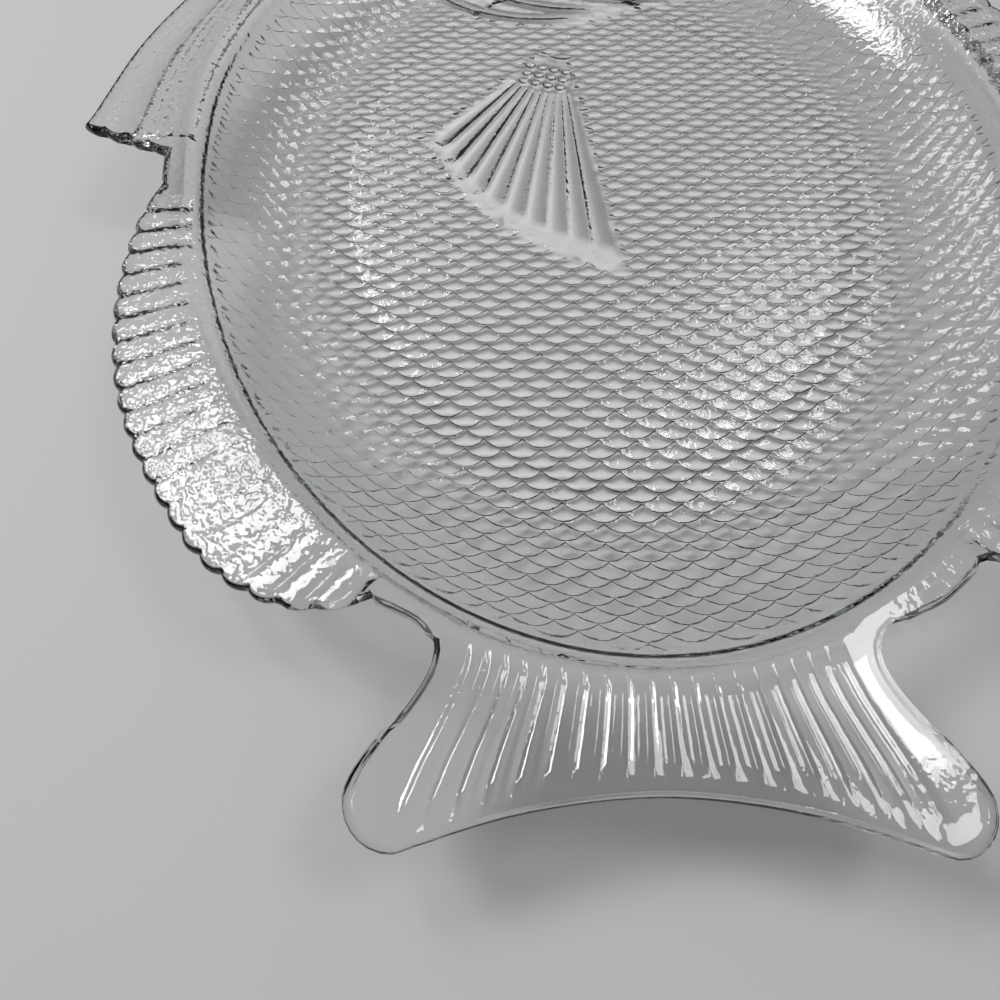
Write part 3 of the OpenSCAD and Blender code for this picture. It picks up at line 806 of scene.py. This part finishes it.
# Lays the flat pattern on the underside of the floor and the wall; the foot is a soft swelling
def pressOntoDish(bm):
    for v in bm.verts:
        x, y, high = v.co
        high += scales["level"]
        k, past = fromFloorEdge(x, y)
        if past <= 0:
            foot = max(0, 1 - ((past + dish["footInset"]) / dish["footReach"]) ** 2)
            z = dish["foot"] - high - dish["footSwell"] * foot ** 2
            v.co = (x, y, max(dish["lowest"], z))
        else:
            v.co = underWall(k, spreadShare(k, past), high)


# The top of the floor, the wall and the fins, with the rounded edge at its border
def makeTop(columns):
    bm = bmesh.new()
    rowCount = len(rows["wall"]) + 1 + len(rows["fin"])
    meshGrid(bm, len(columns), rowCount, lambda i, j: topPlace(columns, i, j))
    bmesh.ops.remove_doubles(bm, verts=bm.verts, dist=weld["top"])
    onFloor = {v for v in bm.verts if abs(v.co.z - floorTop) < weld["floor"]}
    floorLoop = [e for e in bm.edges if e.is_boundary and all(v in onFloor for v in e.verts)]
    bmesh.ops.contextual_create(bm, geom=floorLoop)
    addEdge(bm)
    return bm


# The fire-polished edge: the top's border is drawn out and down in a few steps
def addEdge(bm):
    border = [e for e in bm.edges if e.is_boundary]
    outward = {}
    for v in {v for e in border for v in e.verts}:
        a, b = [e.other_vert(v).co for e in v.link_edges if e.is_boundary]
        d = (b - a).normalized()
        side = Vector((d.y, -d.x, 0))
        inner = sum((f.calc_center_median() for f in v.link_faces), Vector()) / len(v.link_faces)
        outward[v] = side if side.dot(v.co - inner) > 0 else -side
    home = {v: v.co.copy() for v in outward}
    for out, down in rows["edge"]:
        made = bmesh.ops.extrude_edge_only(bm, edges=border)["geom"]
        border = [g for g in made if isinstance(g, bmesh.types.BMEdge) and g.is_boundary]
        newVerts = {v for e in border for v in e.verts}
        nextOut, nextHome = {}, {}
        for v in newVerts:
            old = next(e.other_vert(v) for e in v.link_edges if e.other_vert(v) not in newVerts)
            nextOut[v], nextHome[v] = outward[old], home[old]
            v.co = home[old] + outward[old] * out - Vector((0, 0, down))
        outward, home = nextOut, nextHome


def buildPlatter():
    columns = makeColumns()
    print("columns:", len(columns))
    bm = makeFlatPattern(columns)
    pressOntoDish(bm)
    print("scales pressed")
    underRows = rows["underWall"] + len(rows["under"])
    meshGrid(bm, len(columns), underRows, lambda i, j: underPlace(columns, i, j))
    bmesh.ops.remove_doubles(bm, verts=bm.verts, dist=weld["under"])
    top = makeTop(columns)
    topMesh = bpy.data.meshes.new("topHalf")
    top.to_mesh(topMesh)
    top.free()
    bm.from_mesh(topMesh)
    bpy.data.meshes.remove(topMesh)
    openEdges = [e for e in bm.edges if e.is_boundary]
    print("open edges before the bridge:", len(openEdges))
    bmesh.ops.bridge_loops(bm, edges=openEdges)
    bmesh.ops.recalc_face_normals(bm, faces=bm.faces)
    print("open edges:", sum(not e.is_manifold for e in bm.edges), "volume", bm.calc_volume())
    paintShade(bm)
    middle = platterMiddle()
    bmesh.ops.translate(bm, verts=bm.verts, vec=(-middle.x, -middle.y, 0))
    bmesh.ops.scale(bm, verts=bm.verts, vec=(0.001, 0.001, 0.001))
    mesh = bpy.data.meshes.new("glass_platter")
    bm.to_mesh(mesh)
    print("triangles:", sum(len(f.verts) - 2 for f in bm.faces))
    bm.free()
    for polygon in mesh.polygons:
        polygon.use_smooth = True
    platter = bpy.data.objects.new("glass_platter", mesh)
    bpy.context.scene.collection.objects.link(platter)
    return platter


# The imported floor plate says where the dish's own axes lie in the frame
def platterMiddle():
    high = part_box("floor_plate")[1]
    return Vector((wideX + dish["floorTail"] - 1000 * high.x, dish["floorHalf"] - 1000 * high.y))


# Painted shadow and painted caustic light that each place casts on the table through the glass:
# darker where the glass bends, brighter at the painted crests, and darker under the rim and darkest
# under the tail
shades = {"flat": 0.9, "bright": 1.5, "bent": 0.2, "bend": 0.7, "crestCalm": 0.6, "rimCalm": 0.5,
          "rim": 0.88, "tail": 0.6, "tailFrom": 155, "rimFrom": 22, "rimTo": 27, "up": 0.2,
          "sharp": (38, 62)}


def paintShade(bm):
    layer = bm.verts.layers.float.new("shade")
    crest = bm.verts.layers.float["crest"]
    bm.normal_update()
    for v in bm.verts:
        high = ease((v.co.z - shades["rimFrom"]) / (shades["rimTo"] - shades["rimFrom"]))
        plain = 1 if v.normal.z > shades["up"] else mix(shades["flat"], shades["bright"], v[crest])
        # the rim and, most, the tail cast a darker painted shadow on the table
        rimPaintedShadow = shades["tail"] if v.co.x > shades["tailFrom"] else shades["rim"]
        bend = max(e.calc_face_angle(0) for e in v.link_edges)
        bend *= (1 - shades["crestCalm"] * clamp(v[crest])) * mix(1, shades["rimCalm"], high)
        v[layer] = mix(plain, shades["bent"], ease(bend / shades["bend"])) * mix(1, rimPaintedShadow, high)
    for e in bm.edges:
        sharp = shades["sharp"][e.verts[0].co.z > shades["rimFrom"]]
        e.smooth = e.calc_face_angle(0) < radians(sharp) and not e.seam


# A colour as the nodes take it, by the sRGB curve
def linear(hexColour):
    channels = [int(hexColour[i:i + 2], 16) / 255 for i in (1, 3, 5)]
    curved = [c / 12.92 if c <= 0.04045 else ((c + 0.055) / 1.055) ** 2.4 for c in channels]
    return (*curved, 1.0)


def addNode(tree, kind, settings=None, inputs=None):
    node = tree.nodes.new(kind)
    for name, value in (settings or {}).items():
        setattr(node, name, value)
    for name, value in (inputs or {}).items():
        if isinstance(value, bpy.types.NodeSocket):
            tree.links.new(value, node.inputs[name])
        else:
            node.inputs[name].default_value = value
    return node


def newMaterial(name):
    material = bpy.data.materials.new(name)
    material.use_nodes = True
    material.node_tree.nodes.clear()
    return material, material.node_tree


# Waves and peel are sizes in mm; the peel is finer, and its shares are those of the dish, the fins
# and the tail, which begin at the heights and the places along X that are given in metres
glassLook = {
    "tint": "#FFFFFF", "ior": 1.52, "roughness": 0.01, "absorb": (0.1, 0.42, 0.25, 1.0),
    "density": 5.0, "waveMm": 9.0, "waveHigh": 0.00005, "peelMm": 1.8,
    "dishPeel": 2.2, "finPeel": 6.0, "tailPeel": 0.7,
    "finsFrom": (0.02, 0.027), "tailFrom": (0.12, 0.15),
}


# Pressed soda-lime glass: clear, faintly green where it is thick, with a pressing's slight waves
def pressedGlass():
    look = glassLook
    material, tree = newMaterial("pressedSodaLimeGlass")
    place = addNode(tree, "ShaderNodeTexCoord")
    waves = addNode(tree, "ShaderNodeTexNoise", {}, {
        "Vector": place.outputs["Object"], "Scale": 1000 / look["waveMm"], "Detail": 1.0})
    peel = addNode(tree, "ShaderNodeTexNoise", {}, {
        "Vector": place.outputs["Object"], "Scale": 1000 / look["peelMm"], "Detail": 1.0})
    parts = addNode(tree, "ShaderNodeSeparateXYZ", {}, {"Vector": place.outputs["Object"]})
    low, high = look["finsFrom"]
    share = addNode(tree, "ShaderNodeMapRange", {}, {
        "Value": parts.outputs["Z"], "From Min": low, "From Max": high,
        "To Min": look["dishPeel"], "To Max": look["finPeel"]})
    low, high = look["tailFrom"]
    share = addNode(tree, "ShaderNodeMapRange", {}, {
        "Value": parts.outputs["X"], "From Min": low, "From Max": high,
        "To Min": share.outputs["Result"], "To Max": look["tailPeel"]})
    rise = addNode(tree, "ShaderNodeMath", {"operation": "MULTIPLY_ADD"}, {
        0: peel.outputs["Fac"], 1: share.outputs["Result"], 2: waves.outputs["Fac"]})
    bump = addNode(tree, "ShaderNodeBump", {}, {
        "Height": rise.outputs["Value"], "Strength": 1.0, "Distance": look["waveHigh"]})
    glass = addNode(tree, "ShaderNodeBsdfPrincipled", {}, {
        "Base Color": linear(look["tint"]), "Roughness": look["roughness"], "IOR": look["ior"],
        "Transmission Weight": 1.0, "Normal": bump.outputs["Normal"]})
    shade = addNode(tree, "ShaderNodeAttribute", {"attribute_name": "shade"})
    clear = addNode(tree, "ShaderNodeBsdfTransparent", {}, {"Color": shade.outputs["Fac"]})
    path = addNode(tree, "ShaderNodeLightPath")
    # light that reaches the table goes straight through, tinted by the painted shadow and painted
    # caustic light of the shade attribute
    lit = addNode(tree, "ShaderNodeMixShader", {}, {
        0: path.outputs["Is Diffuse Ray"], 1: glass.outputs["BSDF"], 2: clear.outputs["BSDF"]})
    both = addNode(tree, "ShaderNodeMixShader", {}, {
        0: path.outputs["Is Shadow Ray"], 1: lit.outputs["Shader"], 2: clear.outputs["BSDF"]})
    soak = addNode(tree, "ShaderNodeVolumeAbsorption", {}, {
        "Color": look["absorb"], "Density": look["density"]})
    addNode(tree, "ShaderNodeOutputMaterial", {}, {
        "Surface": both.outputs["Shader"], "Volume": soak.outputs["Volume"]})
    return material


# A plain pale table top, matt, that keeps the platter's shadow; it lies a hair below the glass
table = {"colour": "#C2C2C1", "size": 6.0, "below": 0.0003, "roughness": 0.7}


def makeTable():
    bm = bmesh.new()
    bmesh.ops.create_grid(bm, x_segments=1, y_segments=1, size=table["size"] / 2)
    mesh = bpy.data.meshes.new("table")
    bm.to_mesh(mesh)
    bm.free()
    top = bpy.data.objects.new("table", mesh)
    top.location.z = -table["below"]
    bpy.context.scene.collection.objects.link(top)
    material, tree = newMaterial("mattTable")
    surface = addNode(tree, "ShaderNodeBsdfPrincipled", {}, {
        "Base Color": linear(table["colour"]), "Roughness": table["roughness"]})
    addNode(tree, "ShaderNodeOutputMaterial", {}, {"Surface": surface.outputs["BSDF"]})
    mesh.materials.append(material)


# The camera stands where the photograph's did, worked out from the rim and the fins
shot = {"place": (198.5, -28.25, 173), "down": 63.7, "lens": 25.92, "sensor": 36, "near": 0.01,
        "roll": 0.80, "yaw": -0.27}


def makeCamera():
    data = bpy.data.cameras.new("camera")
    data.lens = shot["lens"]
    data.sensor_width = shot["sensor"]
    data.clip_start = shot["near"]
    camera = bpy.data.objects.new("camera", data)
    bpy.context.scene.collection.objects.link(camera)
    down = radians(shot["down"])
    forward = Vector((-cos(down), 0, -sin(down)))
    right = Vector((0, 1, 0))
    up = right.cross(forward)
    turn = Matrix((right, up, -forward)).transposed()
    turn = turn @ Matrix.Rotation(radians(shot["yaw"]), 3, "Y")
    turn = turn @ Matrix.Rotation(radians(shot["roll"]), 3, "Z")
    camera.matrix_world = Matrix.Translation(Vector(shot["place"]) / 1000) @ turn.to_4x4()
    bpy.context.scene.camera = camera


# A lamp's place is given by its bearing and height in degrees, as seen from the platter
lamps = [
    {"name": "windowLamp", "bearing": 229, "height": 58, "size": (0.22, 0.46), "power": 4.5},
    {"name": "sideLamp", "bearing": 101, "height": 63.5, "size": (0.42, 0.4), "power": 4.5},
    {"name": "roomLamp", "bearing": 256, "height": 50, "size": (0.4, 0.4), "power": 11},
]
studio = {"lampsAway": 1.6, "horizon": "#303030", "zenith": "#A2A2A2", "backdrop": "#D8D8D6",
          "climb": (0.15, 0.9)}


def makeLights():
    for lamp in lamps:
        data = bpy.data.lights.new(lamp["name"], "AREA")
        data.shape = "RECTANGLE"
        data.size, data.size_y = lamp["size"]
        data.energy = lamp["power"]
        light = bpy.data.objects.new(lamp["name"], data)
        bearing, height = radians(lamp["bearing"]), radians(lamp["height"])
        place = Vector((cos(bearing) * cos(height), sin(bearing) * cos(height), sin(height)))
        place *= studio["lampsAway"]
        turn = (-place).to_track_quat("-Z", "Y").to_matrix().to_4x4()
        light.matrix_world = Matrix.Translation(place) @ turn
        bpy.context.scene.collection.objects.link(light)


# The room is dark at the horizon and pale overhead; the camera sees a plain pale backdrop instead
def makeRoom():
    world = bpy.data.worlds.new("studio")
    world.use_nodes = True
    tree = world.node_tree
    tree.nodes.clear()
    place = addNode(tree, "ShaderNodeTexCoord")
    parts = addNode(tree, "ShaderNodeSeparateXYZ", {}, {"Vector": place.outputs["Generated"]})
    low, high = studio["climb"]
    climb = addNode(tree, "ShaderNodeMapRange", {"interpolation_type": "SMOOTHSTEP"}, {
        "Value": parts.outputs["Z"], "From Min": low, "From Max": high})
    room = addNode(tree, "ShaderNodeMix", {"data_type": "RGBA"}, {
        "Factor": climb.outputs["Result"],
        6: linear(studio["horizon"]), 7: linear(studio["zenith"])})
    path = addNode(tree, "ShaderNodeLightPath")
    seen = addNode(tree, "ShaderNodeMix", {"data_type": "RGBA"}, {
        "Factor": path.outputs["Is Camera Ray"], 6: room.outputs[2], 7: linear(studio["backdrop"])})
    back = addNode(tree, "ShaderNodeBackground", {}, {"Color": seen.outputs[2]})
    addNode(tree, "ShaderNodeOutputWorld", {}, {"Surface": back.outputs["Background"]})
    bpy.context.scene.world = world


bpy.context.scene.view_settings.view_transform = "Standard"
makeCamera()
makeLights()
makeRoom()
makeTable()
platter = buildPlatter()
platter.data.materials.append(pressedGlass())
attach(platter, "root")
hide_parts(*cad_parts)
print("platter placed")
